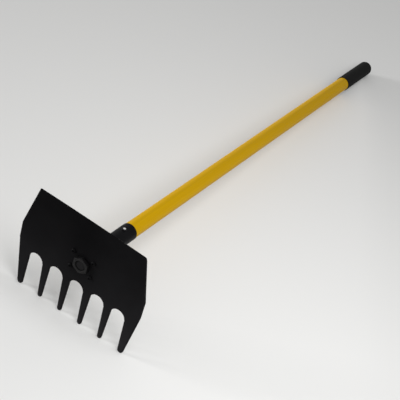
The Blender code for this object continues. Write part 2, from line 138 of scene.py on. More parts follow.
# %% [markdown]
# ## Floor and light
# A black tool needs light that is soft and even, or it turns into a hole in the picture. The world gives an
# even fill. A large lamp hangs over the head, a little to the right, so the handle is lit flat across and
# grows darker towards its far end. A second one stands far off on the left, so that it rakes over the
# upright face of the head, where the left bevel of each tine catches more of it than the right one. Nearer
# by, it would burn a white patch into the floor. Small lamps were the other choice, but they would draw
# hard shadows and glaring spots on the steel. The floor is a large disc, so no corner of it shows.

# %% Light
FILL_STRENGTH = 0.40
BACKDROP_COLOUR = (0.80, 0.80, 0.79, 1)
LAMP_TARGET = Vector((0.0, -0.45, 0.12))
# Each lamp has its place and its size in metres, and its power in watts.
LAMPS = {
    "over_the_head": (Vector((0.68, -0.74, 1.36)), 1.0, 15.5),
    "far_left": (Vector((-8.40, -3.95, 1.05)), 2.0, 760),
}

for name, (place, size, power) in LAMPS.items():
    lamp_data = bpy.data.lights.new(name, "AREA")
    lamp_data.shape = "SQUARE"
    lamp_data.size = size
    lamp_data.energy = power
    lamp = add_object(name, lamp_data)
    lamp.location = place
    lamp.rotation_euler = (LAMP_TARGET - place).to_track_quat("-Z", "Y").to_euler()
    print(f"{name}: {(LAMP_TARGET - place).length:.2f} m from the head")
bpy.context.scene.view_settings.view_transform = "Standard"

# %% [markdown]
# ## Writing materials in code
# A material is a tree of nodes. Building one by hand in the editor can't be repeated, so it is written
# here with a few small helpers. One adds a node, sets it up, and gives each input a number or a link. The
# others are the kinds of node that come back most. A colour or number that is the same all over stands on
# the shader's own socket. Only what varies is linked.

# %% Node helpers
def feed(tree, inputs, values):
    """Give each named input a plain value, or a link if its value is an output."""
    for socket, value in values.items():
        if isinstance(value, bpy.types.NodeSocket):
            tree.links.new(value, inputs[socket])
        else:
            inputs[socket].default_value = value


def add_node(tree, kind, values=None, **settings):
    """Add a node with its settings, and feed its inputs."""
    made = tree.nodes.new(kind)
    for name, setting in settings.items():
        setattr(made, name, setting)
    feed(tree, made.inputs, values or {})
    return made


def calculate(tree, operation, *values):
    """The result of a Math node. Each value may be a number or an output."""
    return add_node(tree, "ShaderNodeMath", dict(enumerate(values)), operation=operation).outputs[0]


def mix_colours(tree, share, first, second):
    """Mix two colours. Each may be a colour or an output."""
    mixed = add_node(tree, "ShaderNodeMix", {0: share, 6: first, 7: second}, data_type="RGBA")
    return mixed.outputs[2]


def ramp(tree, value, start, end, low=0, high=1, curve="LINEAR"):
    """Turn the range from start to end into the range from low to high."""
    values = {"Value": value, "From Min": start, "From Max": end, "To Min": low, "To Max": high}
    return add_node(tree, "ShaderNodeMapRange", values, interpolation_type=curve).outputs["Result"]


def spread(tree, value, low, high):
    """Stretch a value from 0 to 1 over the range from low to high."""
    return ramp(tree, value, 0, 1, low, high)


def noise(tree, vector, scale, detail, roughness):
    """A noise on coordinates, from 0 to 1."""
    values = {"Vector": vector, "Scale": scale, "Detail": detail, "Roughness": roughness}
    return add_node(tree, "ShaderNodeTexNoise", values).outputs["Fac"]


def new_material(name, shader_values):
    """A material, its tree and its shader, a Principled BSDF with its constant values set."""
    made = bpy.data.materials.new(name)
    made.use_nodes = True
    tree = made.node_tree
    shader = tree.nodes["Principled BSDF"]
    feed(tree, shader.inputs, shader_values)
    return made, tree, shader


# %% World and floor
world = bpy.data.worlds.new("studio")
world.use_nodes = True
bpy.context.scene.world = world
sky = world.node_tree
sky.nodes.clear()
ray = add_node(sky, "ShaderNodeLightPath")
seen = calculate(sky, "MAXIMUM", ray.outputs["Is Camera Ray"], ray.outputs["Is Glossy Ray"])
seen = calculate(sky, "MAXIMUM", seen, ray.outputs["Is Transmission Ray"])
fill = add_node(sky, "ShaderNodeBackground", {"Color": (1, 1, 1, 1), "Strength": FILL_STRENGTH})
backdrop = add_node(sky, "ShaderNodeBackground", {"Color": BACKDROP_COLOUR, "Strength": 1})
either = add_node(sky, "ShaderNodeMixShader", {0: seen, 1: fill.outputs[0], 2: backdrop.outputs[0]})
add_node(sky, "ShaderNodeOutputWorld", {"Surface": either.outputs[0]})

FLOOR_RADIUS = 4.0
FLOOR_STEPS = 128
FLOOR_DROP = 0.05 * MM
FLOOR_LOOK = {"Base Color": BACKDROP_COLOUR, "Roughness": 0.9, "Specular IOR Level": 0.1}
floor_shape = bmesh.new()
bmesh.ops.create_circle(floor_shape, cap_ends=True, segments=FLOOR_STEPS, radius=FLOOR_RADIUS)
floor_mesh = bpy.data.meshes.new("floor")
floor_shape.to_mesh(floor_mesh)
floor_shape.free()
floor = add_object("floor", floor_mesh)
floor.location.z = -FLOOR_DROP
floor_mesh.materials.append(new_material("pale_floor", FLOOR_LOOK)[0])
floor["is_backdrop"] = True
print("floor, metres across:", 2 * FLOOR_RADIUS)

# %% [markdown]
# ## Helpers for shapes
# Most pieces of a hand tool are turned, cut from plate or drilled. A turned piece is a profile that is spun
# round an axis. Its edges could be bevelled after the spin, ring by ring. It is simpler to round the
# corners of the flat profile first, because one rounded corner then becomes a rounded ring all the way.

# %% Rounding a corner
CORNER_SEGMENTS = 4
MERGE = 0.002 * MM
# Two roundings that meet in the middle of a side would collide, so each stays a hair short of it.
FULL_ROUND = 0.999


def everything(shape):
    """All vertices, edges and faces of a shape."""
    return shape.verts[:] + shape.edges[:] + shape.faces[:]


def bevel(shape, parts, offset, segments, affect="EDGES"):
    """Round some vertices or edges, and return the new faces."""
    made = bmesh.ops.bevel(
        shape, geom=parts, offset=offset, offset_type="OFFSET", affect=affect, segments=segments,
        profile=0.5, material=-1,
    )
    return made["faces"]


def round_corner(shape, corner, radius, segments=CORNER_SEGMENTS):
    """Round one corner of an outline with an arc that runs smoothly into both of its sides."""
    sides = [edge.other_vert(corner).co - corner.co for edge in corner.link_edges]
    reach = FULL_ROUND * radius / tan(sides[0].angle(sides[1]) / 2)
    bevel(shape, [corner], reach, segments, "VERTICES")


# %% A turned shape
ROUND_STEPS = 96
SMALL_STEPS = 48


def spin_round(shape, steps):
    """Spin what a shape holds once round Z."""
    bmesh.ops.spin(
        shape, geom=everything(shape), cent=(0, 0, 0), axis=(0, 0, 1), angle=2 * pi, steps=steps,
        use_merge=True,
    )
    bmesh.ops.remove_doubles(shape, verts=shape.verts, dist=MERGE)
    bmesh.ops.recalc_face_normals(shape, faces=shape.faces)


def turned(corners, steps=ROUND_STEPS, closed=False):
    """Spin a profile round Z. Each corner is (radius, height), and may add its rounding and its segments."""
    shape = bmesh.new()
    points = [shape.verts.new((corner[0], 0, corner[1])) for corner in corners]
    pairs = list(zip(points, points[1:]))
    if closed:
        pairs.append((points[-1], points[0]))
    for first, second in pairs:
        shape.edges.new((first, second))
    for point, corner in zip(points, corners):
        if len(corner) > 2:
            round_corner(shape, point, *corner[2:])
    spin_round(shape, steps)
    return shape


# %% [markdown]
# ## Where paint wears
# Paint wears first where a surface turns. A shader can guess that from the shape, but the guess changes
# with the mesh. So each piece carries its own mark: a number on every vertex, 1 where the surface turns
# sharply and 0 elsewhere. A rounded edge turns most in its middle, so the mark fades out within the
# rounding, before the flats begin. A face that rubs on things gets the same mark by a test of its own. The
# materials read the mark under the name rim.

# %% Pieces
RIM_ANGLE = radians(21)


def rim_layer(shape):
    """The layer of a shape that holds the rim value of each vertex."""
    return shape.verts.layers.float.get("rim") or shape.verts.layers.float.new("rim")


def mark_rims(shape):
    """Give 1 to the vertices on edges where the surface turns."""
    rim = rim_layer(shape)
    for edge in shape.edges:
        if edge.calc_face_angle(0) > RIM_ANGLE:
            for vertex in edge.verts:
                vertex[rim] = 1


def mark_rubbed(shape, is_rubbed):
    """Give 1 to the vertices that a test picks by their place."""
    rim = rim_layer(shape)
    for vertex in shape.verts:
        if is_rubbed(vertex.co):
            vertex[rim] = 1


def make_piece(name, shape, place=None):
    """An object from a shape. Its place goes into its mesh, so that the object itself stays at the origin."""
    if place is not None:
        bmesh.ops.transform(shape, matrix=place, verts=shape.verts)
    if shape.verts.layers.float.get("rim") is None:
        mark_rims(shape)
    mesh = bpy.data.meshes.new(name)
    shape.to_mesh(mesh)
    shape.free()
    return add_object(name, mesh)


def cut(piece, shape, place=None, operation="DIFFERENCE"):
    """Cut a piece with a shape, or keep only what lies inside both."""
    cutter = make_piece("cutter", shape, place)
    step = piece.modifiers.new("cut", "BOOLEAN")
    step.object = cutter
    step.operation = operation
    step.solver = "EXACT"
    evaluated = piece.evaluated_get(bpy.context.evaluated_depsgraph_get())
    whole = piece.data
    piece.data = bpy.data.meshes.new_from_object(evaluated)
    piece.modifiers.clear()
    bpy.data.objects.remove(cutter)
    bpy.data.meshes.remove(whole)
    piece.data.name = piece.name


def rework(piece, step, *values):
    """Open a piece's mesh again and change it with one step."""
    shape = bmesh.new()
    shape.from_mesh(piece.data)
    step(shape, *values)
    shape.to_mesh(piece.data)
    shape.free()


# %% [markdown]
# ## The head
# The head is one flat steel plate. Its sides flare out from the hoe edge, drop straight for a short way,
# and then run into the six tines. Each tine narrows to a round tip, a stouter one on the two outer tines,
# and the gaps between them end in round roots, which keeps the steel from cracking there. The outline could
# be traced point by point. Here it is drawn as a draughtsman would: straight lines between sharp corners,
# and a radius on each corner. It keeps a hair's slack to the frame's box, which its rounding may not pass.

# %% Head sizes
SLACK = 0.02 * MM
PLATE_THICKNESS = HEAD_HIGH.y - HEAD_LOW.y
HEAD_HALF = half_width("head_plate") - SLACK
HOE_HALF = 112.5 * MM
HOE_CROWN = 1.4 * MM
HOE_HEIGHT = HEAD_HIGH.z - HOE_CROWN
FLARE_LENGTH = 92.5 * MM
SIDE_LENGTH = 38.5 * MM
SHOULDER_RADIUS = 5 * MM
HOE_CORNER_RADIUS = 2.5 * MM
TINE_COUNT = 6
TINE_PITCH = 46 * MM
TINE_LENGTH = 90.5 * MM
ROOT_RADIUS = 14.75 * MM
INNER_TIP_RADIUS = 4.9 * MM
OUTER_TIP_RADIUS = 6.3 * MM
OUTER_TIP_SPLAY = 0.9 * MM
SIDE_END = (HEAD_HALF, HOE_HEIGHT - FLARE_LENGTH - SIDE_LENGTH)


def tine_slope(across, rise, reach):
    """The slope of a tine's side, which touches its tip's circle and runs to a point or circle above."""
    return atan2(across, rise) - asin(reach / hypot(across, rise))


TINES = []
for k in range(TINE_COUNT // 2):
    tine = (k + 0.5) * TINE_PITCH
    tip = INNER_TIP_RADIUS
    outer = k == TINE_COUNT // 2 - 1
    if outer:
        tine += OUTER_TIP_SPLAY
        tip = OUTER_TIP_RADIUS
    root_rise = TINE_LENGTH - ROOT_RADIUS - tip
    inner_slope = tine_slope(tine - k * TINE_PITCH, root_rise, tip + ROOT_RADIUS)
    outer_slope = tine_slope((k + 1) * TINE_PITCH - tine, root_rise, tip + ROOT_RADIUS)
    if outer:
        outer_slope = tine_slope(SIDE_END[0] - tine, SIDE_END[1] - tip, tip)
    TINES.append((tine, tip, inner_slope, outer_slope))
    slopes = [round(degrees(slope), 1) for slope in (inner_slope, outer_slope)]
    print(f"tine {tine / MM:.1f} mm off centre, its sides slope by {slopes} degrees")


def side_at(tine, tip, slope, side, height):
    """Where the straight side of a tine is at that height. side is -1 towards the middle and 1 outwards."""
    return tine + side * (tip / cos(slope) + (height - tip) * tan(slope))


# %% Head outline
TIP_SEGMENTS = 9
ROOT_SEGMENTS = 12
CROWN_CUTS = 11
OUTLINE_MERGE = 0.05 * MM


def half_outline():
    """Corners of the right half as (x, z, radius, segments), from the hoe edge round to the middle gap."""
    corners = [
        (0, HOE_HEIGHT, 0, 0),
        (HOE_HALF, HOE_HEIGHT, HOE_CORNER_RADIUS, CORNER_SEGMENTS),
        (HEAD_HALF, HOE_HEIGHT - FLARE_LENGTH, SHOULDER_RADIUS, CORNER_SEGMENTS),
        (*SIDE_END, SHOULDER_RADIUS, CORNER_SEGMENTS),
    ]
    for tine, tip, inner_slope, outer_slope in reversed(TINES):
        root_x = side_at(tine, tip, outer_slope, 1, TINE_LENGTH)
        if root_x < HEAD_HALF - ROOT_RADIUS:
            corners.append((root_x, TINE_LENGTH, ROOT_RADIUS, ROOT_SEGMENTS))
        corners.append((side_at(tine, tip, outer_slope, 1, 0), 0, tip, TIP_SEGMENTS))
        corners.append((side_at(tine, tip, inner_slope, -1, 0), 0, tip, TIP_SEGMENTS))
        root_x = side_at(tine, tip, inner_slope, -1, TINE_LENGTH)
        corners.append((root_x, TINE_LENGTH, ROOT_RADIUS, ROOT_SEGMENTS))
    corners.append((0, TINE_LENGTH, 0, 0))
    return corners


def head_face():
    """The head's outline as one flat face in the plane of its front."""
    shape = bmesh.new()
    corners = half_outline()
    points = [shape.verts.new((x, HEAD_LOW.y, z)) for x, z, radius, segments in corners]
    shape.faces.new(points)
    for point, (x, z, radius, segments) in zip(points, corners):
        if radius:
            round_corner(shape, point, radius, segments)
    bmesh.ops.mirror(shape, geom=everything(shape), axis="X", merge_dist=MERGE)
    bmesh.ops.remove_doubles(shape, verts=shape.verts, dist=OUTLINE_MERGE)
    seam = [edge for edge in shape.edges if all(abs(end.co.x) < OUTLINE_MERGE for end in edge.verts)]
    bmesh.ops.dissolve_edges(shape, edges=seam, use_verts=True)
    return shape


# %% [markdown]
# The hoe edge isn't quite straight: it is crowned by about a millimetre. Then the flat face is drawn out to
# the plate's thickness, and a grinder takes a long bevel off the back along the hoe edge. A slanting cut
# with a plane does just what the grinder does.

# %% Crown, thickness and ground edge
BEVEL_LENGTH = 9 * MM
EDGE_THICKNESS = 0.8 * MM


def crown_hoe_edge(shape):
    """Lift the middle of the hoe edge."""
    top = [edge for edge in shape.edges if all(abs(end.co.z - HOE_HEIGHT) < MERGE for end in edge.verts)]
    bmesh.ops.subdivide_edges(shape, edges=top, cuts=CROWN_CUTS)
    for vertex in shape.verts:
        if abs(vertex.co.z - HOE_HEIGHT) < MERGE:
            vertex.co.z += HOE_CROWN * (1 - (vertex.co.x / HOE_HALF) ** 2)


def thicken(shape, thickness):
    """Draw a flat face out along Y to a plate."""
    drawn = bmesh.ops.extrude_face_region(shape, geom=shape.faces[:])
    moved = [part for part in drawn["geom"] if isinstance(part, bmesh.types.BMVert)]
    bmesh.ops.translate(shape, verts=moved, vec=(0, thickness, 0))
    bmesh.ops.recalc_face_normals(shape, faces=shape.faces)


def grind_hoe_edge(shape):
    """Cut the long bevel on the back of the hoe edge, and close the cut."""
    edge_line = Vector((0, HEAD_LOW.y + EDGE_THICKNESS, HEAD_HIGH.z))
    outward = Vector((0, BEVEL_LENGTH, PLATE_THICKNESS - EDGE_THICKNESS))
    bmesh.ops.bisect_plane(
        shape, geom=everything(shape), plane_co=edge_line, plane_no=outward, clear_outer=True, dist=MERGE,
    )
    bmesh.ops.holes_fill(shape, edges=[edge for edge in shape.edges if edge.is_boundary])
    bmesh.ops.recalc_face_normals(shape, faces=shape.faces)


# %% [markdown]
# A grinder also takes a slanting bevel off both front edges of every tine, from the root of the gap down
# past the tip. Each pass of the wheel is a wedge that is cut away. One half of the wedges is laid out,
# mirrored, and cut in one go.

# %% Tine bevels
TINE_BEVEL_WIDTH = 3.4 * MM
TINE_BEVEL_DEPTH = 1.2 * MM
WEDGE_MARGIN = 0.3 * MM
BACK = Vector((0, 1, 0))


def add_box(shape, low, high):
    """Add a box from its lowest to its highest corner, and return its vertices."""
    place = Matrix.Translation((low + high) / 2) @ Matrix.Diagonal((*(high - low), 1))
    return bmesh.ops.create_cube(shape, size=1, matrix=place)["verts"]


def add_wedge(shape, tine, tip, slope, side, top_height):
    """Add the wedge that bevels one side of a tine."""
    outward = Vector((side * cos(slope), 0, -sin(slope)))
    upward = Vector((side * sin(slope), 0, cos(slope)))
    slant = hypot(TINE_BEVEL_WIDTH, TINE_BEVEL_DEPTH)
    across = (outward * TINE_BEVEL_WIDTH + BACK * TINE_BEVEL_DEPTH) / slant
    away = (outward * TINE_BEVEL_DEPTH - BACK * TINE_BEVEL_WIDTH) / slant
    touching = Vector((tine, HEAD_LOW.y, tip)) + outward * tip
    length = (top_height - touching.z) / cos(slope)
    low = Vector((-WEDGE_MARGIN, -OUTER_TIP_RADIUS - WEDGE_MARGIN, 0))
    high = Vector((slant + TINE_BEVEL_DEPTH, length, 2 * TINE_BEVEL_DEPTH))
    wedge = add_box(shape, low, high)
    for vertex in wedge:
        if vertex.co.y > 0 and vertex.co.z > 0:
            vertex.co.y += high.z
    axes = Matrix((across, upward, away)).transposed().to_4x4()
    corner = Matrix.Translation(touching - outward * TINE_BEVEL_WIDTH)
    bmesh.ops.transform(shape, matrix=corner @ axes, verts=wedge)


def tine_wedges():
    """The wedges of all tines as one cutter."""
    shape = bmesh.new()
    root_height = TINE_LENGTH - ROOT_RADIUS
    for tine, tip, inner_slope, outer_slope in TINES:
        add_wedge(shape, tine, tip, inner_slope, -1, root_height + ROOT_RADIUS * sin(inner_slope))
        outer_top = root_height + ROOT_RADIUS * sin(outer_slope)
        if tip == OUTER_TIP_RADIUS:
            outer_top = SIDE_END[1]
        add_wedge(shape, tine, tip, outer_slope, 1, outer_top)
    bmesh.ops.mirror(shape, geom=everything(shape), axis="X")
    bmesh.ops.recalc_face_normals(shape, faces=shape.faces)
    return shape


# %% The head as a piece
head_shape = head_face()
crown_hoe_edge(head_shape)
thicken(head_shape, PLATE_THICKNESS)
grind_hoe_edge(head_shape)
blade_and_tines = make_piece("blade_and_tines", head_shape)
cut(blade_and_tines, tine_wedges())
print("head faces:", len(blade_and_tines.data.polygons))

# %% [markdown]
# ## The socket's base
# Behind the head sits a small plate with round corners. The socket is welded to it, and four rivets and one
# large bolt hold it to the head. A box with its four corners rounded is all it takes.

# %% Socket base
BASE_CORNER_RADIUS = 6 * MM
BASE_LOW, BASE_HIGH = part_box("socket_base")

base_shape = bmesh.new()
add_box(base_shape, BASE_LOW, BASE_HIGH)
deep_edges = [edge for edge in base_shape.edges if abs(edge.verts[0].co.y - edge.verts[1].co.y) > MERGE]
bevel(base_shape, deep_edges, BASE_CORNER_RADIUS, 2 * CORNER_SEGMENTS)
socket_flange = make_piece("socket_flange", base_shape)
print("base plate, mm:", [round(side / MM, 1) for side in BASE_HIGH - BASE_LOW])

# %% [markdown]
# ## Holes for the bolt and the rivets
# The head and the base are drilled together, so one set of cutters serves both. The rivet holes are where
# the frame has its four rivets. Each cutter is a plain round bar with its own Z axis along the tool's Y.

# %% Drilling
BOLT_HOLE_RADIUS = 9.8 * MM
RIVET_HOLE_RADIUS = 3.3 * MM
DRILL_REACH = 30 * MM
RIVET_NODES = [f"head_rivet_{k}" for k in range(1, 5)]


def facing_back(x, z, y=0.0):
    """A place on the head's front face whose Z axis points straight back."""
    return Matrix.Translation((x, HEAD_LOW.y + y, z)) @ Matrix.Rotation(-pi / 2, 4, "X")


def bar(radius, low, high, steps=SMALL_STEPS):
    """A plain round bar along Z."""
    return turned([(0, high), (radius, high), (radius, low), (0, low)], steps)


for plate in (blade_and_tines, socket_flange):
    cut(plate, bar(BOLT_HOLE_RADIUS, -DRILL_REACH, DRILL_REACH, ROUND_STEPS), facing_back(0, AXIS_FOOT.z))
    for rivet_node in RIVET_NODES:
        where = centre(rivet_node)
        cut(plate, bar(RIVET_HOLE_RADIUS, -DRILL_REACH, DRILL_REACH), facing_back(where.x, where.z))
    print(plate.name, "faces after drilling:", len(plate.data.polygons))

# %% [markdown]
# Paint never sits on a knife-sharp corner, so the edges of both plates are rounded a little once they are
# drilled. The long ridges of the bevels are so blunt that they stay as they are. Only the middle of each
# rounding is marked as a rim, where all the faces round a vertex belong to the rounding.

# %% Softened edges
PLATE_ROUNDING = 0.38 * MM
SQUARE_EDGE = radians(50)
EDGE_SEGMENTS = 3


def soften_edges(shape, least_angle, radius):
    """Round the edges that turn by more than an angle, and mark the roundings as the only rims."""
    rim = rim_layer(shape)
    sharp = [edge for edge in shape.edges if edge.calc_face_angle(0) > least_angle]
    rounding = set(bevel(shape, sharp, radius, EDGE_SEGMENTS))
    for vertex in shape.verts:
        vertex[rim] = float(rounding.issuperset(vertex.link_faces))


for plate in (blade_and_tines, socket_flange):
    rework(plate, soften_edges, SQUARE_EDGE, PLATE_ROUNDING)
    print(plate.name, "faces with soft edges:", len(plate.data.polygons))

# %% [markdown]
# ## The four rivets
# They are hollow ended rivets: a low round head with a pit in its middle, which reads as a dark spot. The
# profile runs from the clinched tail behind the base, up the shank, over the head and down into the pit.
# The nut stands out further than they do and keeps them off the ground, so no rim is marked on them.

# %% Rivets
RIVET_SHANK_RADIUS = 3 * MM
RIVET_HEAD_RADIUS = half_width("head_rivet_1")
RIVET_HEAD_HEIGHT = 2.8 * MM
RIVET_HEAD_EDGE = 0.62 * RIVET_HEAD_HEIGHT
RIVET_EDGE_ROUNDING = 0.5 * MM
LIP_WIDTH = 0.9 * MM
LIP_ROUNDING = 0.8 * MM
PIT_RADIUS = 2.1 * MM
PIT_DEPTH = 1.6 * MM
PIT_LIP_ROUNDING = 0.3 * MM
TAIL_RADIUS = 4.2 * MM
TAIL_HEIGHT = 2 * MM
TAIL_FLAT_RADIUS = 0.7 * TAIL_RADIUS
TAIL_EDGE = 0.6 * TAIL_HEIGHT
TAIL_FLAT_ROUNDING = 0.8 * MM
TAIL_EDGE_ROUNDING = 0.6 * MM
SEAT = 0.3 * MM


def head_rivet_shape():
    """A hollow ended rivet along Z, with its head towards minus Z."""
    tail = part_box("head_rivet_1")[1].y - HEAD_LOW.y
    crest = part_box("head_rivet_1")[0].y - HEAD_LOW.y
    profile = [
        (0, tail),
        (TAIL_FLAT_RADIUS, tail, TAIL_FLAT_ROUNDING),
        (TAIL_RADIUS, tail - TAIL_EDGE, TAIL_EDGE_ROUNDING),
        (TAIL_RADIUS, tail - TAIL_HEIGHT),
        (RIVET_SHANK_RADIUS, tail - TAIL_HEIGHT),
        (RIVET_SHANK_RADIUS, -SEAT),
        (RIVET_HEAD_RADIUS, -SEAT),
        (RIVET_HEAD_RADIUS, crest + RIVET_HEAD_EDGE, RIVET_EDGE_ROUNDING),
        (PIT_RADIUS + LIP_WIDTH, crest, LIP_ROUNDING),
        (PIT_RADIUS, crest, PIT_LIP_ROUNDING),
        (PIT_RADIUS, crest + PIT_DEPTH, RIVET_EDGE_ROUNDING),
        (0, crest + PIT_DEPTH),
    ]
    shape = turned(profile, SMALL_STEPS)
    rim_layer(shape)
    return shape


blade_rivets = []
for number, rivet_node in enumerate(RIVET_NODES, 1):
    where = centre(rivet_node)
    rivet_place = facing_back(where.x, where.z)
    blade_rivets.append(make_piece(f"blade_rivet_{number}", head_rivet_shape(), rivet_place))
print("rivets:", len(blade_rivets))

# %% [markdown]
# ## The bolt
# Only its end shows, a little below the nut's face. The edge of the thread is chamfered there. Its round
# head is inside the socket, and it draws the base to the head.

# %% Bolt
BOLT_RADIUS = 9.5 * MM
BOLT_CHAMFER = 1 * MM
BOLT_TIP_ROUNDING = 0.3 * MM
BOLT_HEAD_RADIUS = half_width("centre_bolt")
BOLT_HEAD_HEIGHT = 8 * MM

bolt_low, bolt_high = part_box("centre_bolt")
bolt_tip = bolt_low.y - HEAD_LOW.y
bolt_top = bolt_high.y - HEAD_LOW.y
bolt_profile = [
    (0, bolt_top),
    (BOLT_HEAD_RADIUS, bolt_top, BOLT_CHAMFER),
    (BOLT_HEAD_RADIUS, bolt_top - BOLT_HEAD_HEIGHT),
    (BOLT_RADIUS, bolt_top - BOLT_HEAD_HEIGHT),
    (BOLT_RADIUS, bolt_tip + BOLT_CHAMFER, BOLT_TIP_ROUNDING),
    (BOLT_RADIUS - BOLT_CHAMFER, bolt_tip, BOLT_TIP_ROUNDING),
    (0, bolt_tip),
]
boss_bolt = make_piece("boss_bolt", turned(bolt_profile), facing_back(0, AXIS_FOOT.z))
print(f"bolt, mm: {(bolt_top - bolt_tip) / MM:.1f} long")

# %% [markdown]
# ## The nut
# A hexagon nut is a six sided bar whose face is turned to a cone, which leaves curved shoulders on its
# corners. The shoulders are hard to draw by hand. Keeping only what lies inside both the six sided bar and
# a turned cone gives them exactly, the way the lathe does. The bore gets a small countersink. Rounding
# the corners can push a point out of the face, so all is pressed flat again. The nut stands out furthest,
# and its whole face is marked, so it takes a little bare steel and comes out paler than its sides.

# %% Nut
NUT_CHAMFER = 1.2 * MM
NUT_COUNTERSINK = 0.7 * MM
NUT_EDGE_ROUNDING = 0.25 * MM
NUT_EDGE_ANGLE = radians(25)
nut_low, nut_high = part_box("centre_nut")
NUT_HEIGHT = nut_high.y - nut_low.y
NUT_FLAT = half_width("centre_nut")
NUT_CORNER = NUT_FLAT * 2 / sqrt(3)
NUT_PLACE = facing_back(0, AXIS_FOOT.z, nut_low.y - HEAD_LOW.y)

hexagon = bmesh.new()
bmesh.ops.create_cone(
    hexagon, cap_ends=True, segments=6, radius1=NUT_CORNER, radius2=NUT_CORNER, depth=NUT_HEIGHT,
    matrix=Matrix.Translation((0, 0, NUT_HEIGHT / 2)),
)
boss_nut = make_piece("boss_nut", hexagon, NUT_PLACE)
cone = [
    (0, NUT_HEIGHT + SEAT),
    (NUT_CORNER + NUT_CHAMFER, NUT_HEIGHT + SEAT),
    (NUT_CORNER + NUT_CHAMFER, NUT_CHAMFER),
    (NUT_FLAT, 0),
    (0, 0),
]
cut(boss_nut, turned(cone), NUT_PLACE, "INTERSECT")
bore = [
    (0, NUT_HEIGHT + SEAT),
    (BOLT_HOLE_RADIUS, NUT_HEIGHT + SEAT),
    (BOLT_HOLE_RADIUS, NUT_COUNTERSINK),
    (BOLT_HOLE_RADIUS + NUT_COUNTERSINK + SEAT, -SEAT),
    (0, -SEAT),
]
cut(boss_nut, turned(bore), NUT_PLACE)


def press_flat(shape, front):
    """Push back whatever stands out in front of a plane."""
    for vertex in shape.verts:
        vertex.co.y = max(vertex.co.y, front)


rework(boss_nut, soften_edges, NUT_EDGE_ANGLE, NUT_EDGE_ROUNDING)
rework(boss_nut, press_flat, nut_low.y)
rework(boss_nut, mark_rubbed, lambda point: point.y < nut_low.y + MERGE)
print(f"nut, mm: {2 * NUT_FLAT / MM:.0f} across flats, {NUT_HEIGHT / MM:.1f} high")

# %% [markdown]
# ## The socket
# A steel tube holds the handle. Its foot is cut on the slant, because the handle leans while the base
# stands upright, and its mouth has a small rounded rim. It is spun straight, and then a plane cuts the
# foot. The cut opens the wall, and bridging its two loops closes it again. Only the mouth is marked as a
# rim. A mark at the foot would fade out along the whole tube, because no vertices lie between.

# %% Socket sleeve
SOCKET_RADIUS = 17 * MM
SOCKET_BORE = 15.9 * MM
SOCKET_RIM_ROUNDING = 0.45 * MM
SOCKET_RUB = 0.9 * SOCKET_RIM_ROUNDING
SOCKET_FOOT_MARGIN = 4 * MM
mouth = reach_along_axis("socket_tube")[1]
foot = BASE_HIGH.y - HEAD_LOW.y

sleeve_profile = [
    (SOCKET_RADIUS, mouth, SOCKET_RIM_ROUNDING),
    (SOCKET_RADIUS, foot - SOCKET_FOOT_MARGIN),
    (SOCKET_BORE, foot - SOCKET_FOOT_MARGIN),
    (SOCKET_BORE, mouth, SOCKET_RIM_ROUNDING),
]
sleeve_shape = turned(sleeve_profile, closed=True)
mark_rubbed(sleeve_shape, lambda point: point.z > mouth - SOCKET_RUB)
bmesh.ops.transform(sleeve_shape, matrix=ALONG_HANDLE, verts=sleeve_shape.verts)
bmesh.ops.bisect_plane(
    sleeve_shape, geom=everything(sleeve_shape), plane_co=(0, BASE_HIGH.y + SEAT, AXIS_FOOT.z),
    plane_no=(0, -1, 0), clear_outer=True, dist=MERGE,
)
open_edges = [edge for edge in sleeve_shape.edges if edge.is_boundary]
bmesh.ops.bridge_loops(sleeve_shape, edges=open_edges)
bmesh.ops.recalc_face_normals(sleeve_shape, faces=sleeve_shape.faces)
socket_sleeve = make_piece("socket_sleeve", sleeve_shape)
print("socket sleeve faces:", len(socket_sleeve.data.polygons))

# %% [markdown]
# ## The weld
# A welder runs a bead round the socket's foot in one go, and each dip of the rod leaves a ripple. The bead
# is a ring with a round section. The ripples could be only painted on, but a real swell along the ring
# catches the light and shows in the outline, so the ring itself swells and shrinks.

# %% Weld bead
WELD_SECTION = 3.0 * MM
WELD_OUT = 1.0 * MM
WELD_RIPPLES = 44
WELD_RIPPLE_HEIGHT = 0.28 * MM
WELD_STEPS = 264
WELD_SECTION_STEPS = 20
WELD_LEAN = 0.35

ring_radius = SOCKET_RADIUS + WELD_OUT
weld_shape = bmesh.new()
bmesh.ops.create_circle(
    weld_shape, segments=WELD_SECTION_STEPS, radius=WELD_SECTION,
    matrix=Matrix.Translation((ring_radius, 0, 0)) @ Matrix.Rotation(pi / 2, 4, "X"),
)
spin_round(weld_shape, WELD_STEPS)
for vertex in weld_shape.verts:
    around = atan2(vertex.co.y, vertex.co.x)
    middle = Vector((cos(around), sin(around), 0)) * ring_radius
    outward = vertex.co - middle
    phase = WELD_RIPPLES * around + WELD_LEAN * outward.z / WELD_SECTION * pi
    swell = WELD_RIPPLE_HEIGHT * (0.5 - abs(sin(phase / 2)))
    vertex.co += outward.normalized() * swell
weld_place = facing_back(0, AXIS_FOOT.z - foot * tan(LEAN), foot + SEAT)
socket_weld = make_piece("socket_weld", weld_shape, weld_place)
print("weld ripples:", WELD_RIPPLES)

# %% [markdown]
# ## The handle
# It is a pulled fibreglass tube, which is why its fibres all run lengthwise. It is turned down a little
# where it enters the socket and runs to the far end, under the grip.

